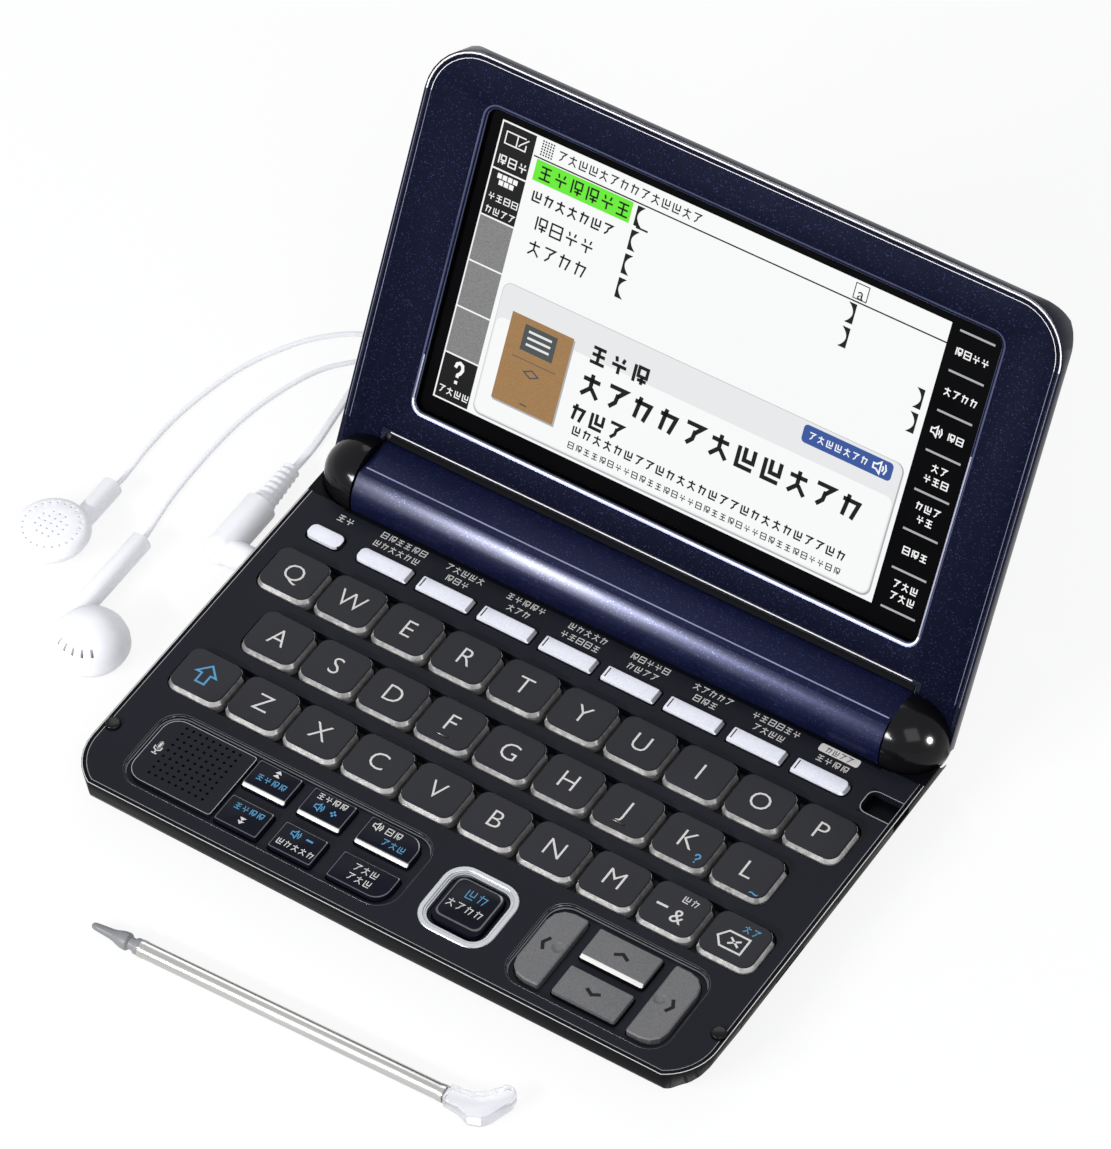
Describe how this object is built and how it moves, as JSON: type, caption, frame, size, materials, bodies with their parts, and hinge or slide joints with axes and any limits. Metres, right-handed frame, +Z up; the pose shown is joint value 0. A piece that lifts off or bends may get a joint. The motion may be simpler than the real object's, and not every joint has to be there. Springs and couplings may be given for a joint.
{
  "type": "electronic dictionary",
  "caption": "Clamshell electronic dictionary: hinged touch screen lid over a small keyboard, battery tube at the hinge, card door, stylus and wired earphones.",
  "frame": {"origin": "middle of the case's underside, on the table that the feet stand on", "axes": "+X to the user's right, +Y towards the hinge, +Z up from the table"},
  "size_m": [0.1966, 0.2022, 0.0934],
  "materials": {
    "case_navy": "satin",
    "panel_dark": "satin",
    "plate_grey": "satin",
    "speaker_metal": "satin",
    "silver_trim": "satin",
    "board": "gloss",
    "membrane": "matte",
    "guide_black": "satin",
    "sheet_steel": "satin",
    "rubber_black": "matte",
    "screw_steel": "satin",
    "lid_navy": "metallic satin",
    "cell_wrap": "gloss",
    "contact_steel": "gloss",
    "pin_steel": "satin",
    "dome_black": "gloss",
    "bezel_dark": "satin",
    "screen_glass": "gloss",
    "lcd": "gloss",
    "stylus_steel": "satin",
    "tip_grey": "satin",
    "clear_cap": "gloss",
    "key_black": "satin",
    "menu_silver": "satin",
    "function_grey": "satin",
    "cursor_grey": "satin",
    "earphone_white": "satin"
  },
  "bodies": {
    "base": {"bottom_case": "case_navy", "keyboard_panel": "panel_dark", "speaker_plate": "plate_grey", "speaker": "speaker_metal", "enter_ring": "silver_trim", "main_board": "board", "key_membrane": "membrane", "stylus_guide": "guide_black", "earphone_jack": "guide_black", "card_socket": "sheet_steel", "rubber_feet": "rubber_black", "case_screws": "screw_steel", "base_bumpers": "rubber_black", "battery_tube": "lid_navy", "batteries": "cell_wrap", "battery_contacts": "contact_steel"},
    "lid": {"hinge_pins": "pin_steel", "hinge_caps": "dome_black", "lid_back_cover": "lid_navy", "lid_bezel": "bezel_dark", "touch_panel": "screen_glass", "lcd_module": "lcd"},
    "battery_door": {"battery_cover": "lid_navy"},
    "card_flap": {"card_door": "case_navy"},
    "stylus": {"stylus_barrel": "stylus_steel", "stylus_tip": "tip_grey", "stylus_cap": "clear_cap"},
    "earphones": {"earphone_plug": "earphone_white", "strain_relief": "earphone_white", "twin_cord": "earphone_white", "cord_coil": "earphone_white", "cord_splitter": "earphone_white", "left_cord": "earphone_white", "right_cord": "earphone_white", "left_earbud": "earphone_white", "right_earbud": "earphone_white"},
    "top_row_keys_body": {"top_row_keys": "key_black"},
    "middle_row_keys_body": {"middle_row_keys": "key_black"},
    "bottom_row_keys_body": {"bottom_row_keys": "key_black"},
    "power_key_body": {"power_key": "menu_silver"},
    "menu_key_1_body": {"menu_key_1": "menu_silver"},
    "menu_key_2_body": {"menu_key_2": "menu_silver"},
    "menu_key_3_body": {"menu_key_3": "menu_silver"},
    "menu_key_4_body": {"menu_key_4": "menu_silver"},
    "menu_key_5_body": {"menu_key_5": "menu_silver"},
    "menu_key_6_body": {"menu_key_6": "menu_silver"},
    "menu_key_7_body": {"menu_key_7": "menu_silver"},
    "menu_key_8_body": {"menu_key_8": "menu_silver"},
    "function_key_1_body": {"function_key_1": "function_grey"},
    "function_key_2_body": {"function_key_2": "function_grey"},
    "function_key_3_body": {"function_key_3": "function_grey"},
    "function_key_4_body": {"function_key_4": "function_grey"},
    "function_key_5_body": {"function_key_5": "function_grey"},
    "function_key_6_body": {"function_key_6": "function_grey"},
    "enter_key_body": {"enter_key": "key_black"},
    "cursor_up_key_body": {"cursor_up_key": "cursor_grey"},
    "cursor_down_key_body": {"cursor_down_key": "cursor_grey"},
    "cursor_left_key_body": {"cursor_left_key": "cursor_grey"},
    "cursor_right_key_body": {"cursor_right_key": "cursor_grey"}
  },
  "joints": [
    {"name": "lid_hinge", "type": "hinge", "parent": "base", "child": "lid", "pos_m": [0, 0.0416, 0.0103], "axis": [1, 0, 0], "range_deg": [-30, 119.25]},
    {"name": "battery_cover_slide", "type": "slide", "parent": "base", "child": "battery_door", "axis": [0, 1, 0], "range_m": [0, 0.018]},
    {"name": "card_door_hinge", "type": "hinge", "parent": "base", "child": "card_flap", "pos_m": [0.07097, -0.0164, 0.0033], "axis": [0, 1, 0], "range_deg": [0, 80]},
    {"name": "stylus_lift", "type": "slide", "parent": "base", "child": "stylus", "axis": [0, 0, 1], "range_m": [0, 0.1]},
    {"name": "plug_pull", "type": "slide", "parent": "base", "child": "earphones", "axis": [-1, 0, 0], "range_m": [0, 0.02]},
    {"name": "top_row_keys_press", "type": "slide", "parent": "base", "child": "top_row_keys_body", "axis": [0, 0, -1], "range_m": [0, 0.0006], "stiffness_N_per_m": 3000},
    {"name": "middle_row_keys_press", "type": "slide", "parent": "base", "child": "middle_row_keys_body", "axis": [0, 0, -1], "range_m": [0, 0.0006], "stiffness_N_per_m": 3000},
    {"name": "bottom_row_keys_press", "type": "slide", "parent": "base", "child": "bottom_row_keys_body", "axis": [0, 0, -1], "range_m": [0, 0.0006], "stiffness_N_per_m": 3000},
    {"name": "power_key_press", "type": "slide", "parent": "base", "child": "power_key_body", "axis": [0, 0, -1], "range_m": [0, 0.0006], "stiffness_N_per_m": 500},
    {"name": "menu_key_1_press", "type": "slide", "parent": "base", "child": "menu_key_1_body", "axis": [0, 0, -1], "range_m": [0, 0.0006], "stiffness_N_per_m": 500},
    {"name": "menu_key_2_press", "type": "slide", "parent": "base", "child": "menu_key_2_body", "axis": [0, 0, -1], "range_m": [0, 0.0006], "stiffness_N_per_m": 500},
    {"name": "menu_key_3_press", "type": "slide", "parent": "base", "child": "menu_key_3_body", "axis": [0, 0, -1], "range_m": [0, 0.0006], "stiffness_N_per_m": 500},
    {"name": "menu_key_4_press", "type": "slide", "parent": "base", "child": "menu_key_4_body", "axis": [0, 0, -1], "range_m": [0, 0.0006], "stiffness_N_per_m": 500},
    {"name": "menu_key_5_press", "type": "slide", "parent": "base", "child": "menu_key_5_body", "axis": [0, 0, -1], "range_m": [0, 0.0006], "stiffness_N_per_m": 500},
    {"name": "menu_key_6_press", "type": "slide", "parent": "base", "child": "menu_key_6_body", "axis": [0, 0, -1], "range_m": [0, 0.0006], "stiffness_N_per_m": 500},
    {"name": "menu_key_7_press", "type": "slide", "parent": "base", "child": "menu_key_7_body", "axis": [0, 0, -1], "range_m": [0, 0.0006], "stiffness_N_per_m": 500},
    {"name": "menu_key_8_press", "type": "slide", "parent": "base", "child": "menu_key_8_body", "axis": [0, 0, -1], "range_m": [0, 0.0006], "stiffness_N_per_m": 500},
    {"name": "function_key_1_press", "type": "slide", "parent": "base", "child": "function_key_1_body", "axis": [0, 0, -1], "range_m": [0, 0.0006], "stiffness_N_per_m": 500},
    {"name": "function_key_2_press", "type": "slide", "parent": "base", "child": "function_key_2_body", "axis": [0, 0, -1], "range_m": [0, 0.0006], "stiffness_N_per_m": 500},
    {"name": "function_key_3_press", "type": "slide", "parent": "base", "child": "function_key_3_body", "axis": [0, 0, -1], "range_m": [0, 0.0006], "stiffness_N_per_m": 500},
    {"name": "function_key_4_press", "type": "slide", "parent": "base", "child": "function_key_4_body", "axis": [0, 0, -1], "range_m": [0, 0.0006], "stiffness_N_per_m": 500},
    {"name": "function_key_5_press", "type": "slide", "parent": "base", "child": "function_key_5_body", "axis": [0, 0, -1], "range_m": [0, 0.0006], "stiffness_N_per_m": 500},
    {"name": "function_key_6_press", "type": "slide", "parent": "base", "child": "function_key_6_body", "axis": [0, 0, -1], "range_m": [0, 0.0006], "stiffness_N_per_m": 500},
    {"name": "enter_key_press", "type": "slide", "parent": "base", "child": "enter_key_body", "axis": [0, 0, -1], "range_m": [0, 0.0006], "stiffness_N_per_m": 500},
    {"name": "cursor_up_key_press", "type": "slide", "parent": "base", "child": "cursor_up_key_body", "axis": [0, 0, -1], "range_m": [0, 0.0006], "stiffness_N_per_m": 500},
    {"name": "cursor_down_key_press", "type": "slide", "parent": "base", "child": "cursor_down_key_body", "axis": [0, 0, -1], "range_m": [0, 0.0006], "stiffness_N_per_m": 500},
    {"name": "cursor_left_key_press", "type": "slide", "parent": "base", "child": "cursor_left_key_body", "axis": [0, 0, -1], "range_m": [0, 0.0006], "stiffness_N_per_m": 500},
    {"name": "cursor_right_key_press", "type": "slide", "parent": "base", "child": "cursor_right_key_body", "axis": [0, 0, -1], "range_m": [0, 0.0006], "stiffness_N_per_m": 500}
  ]
}
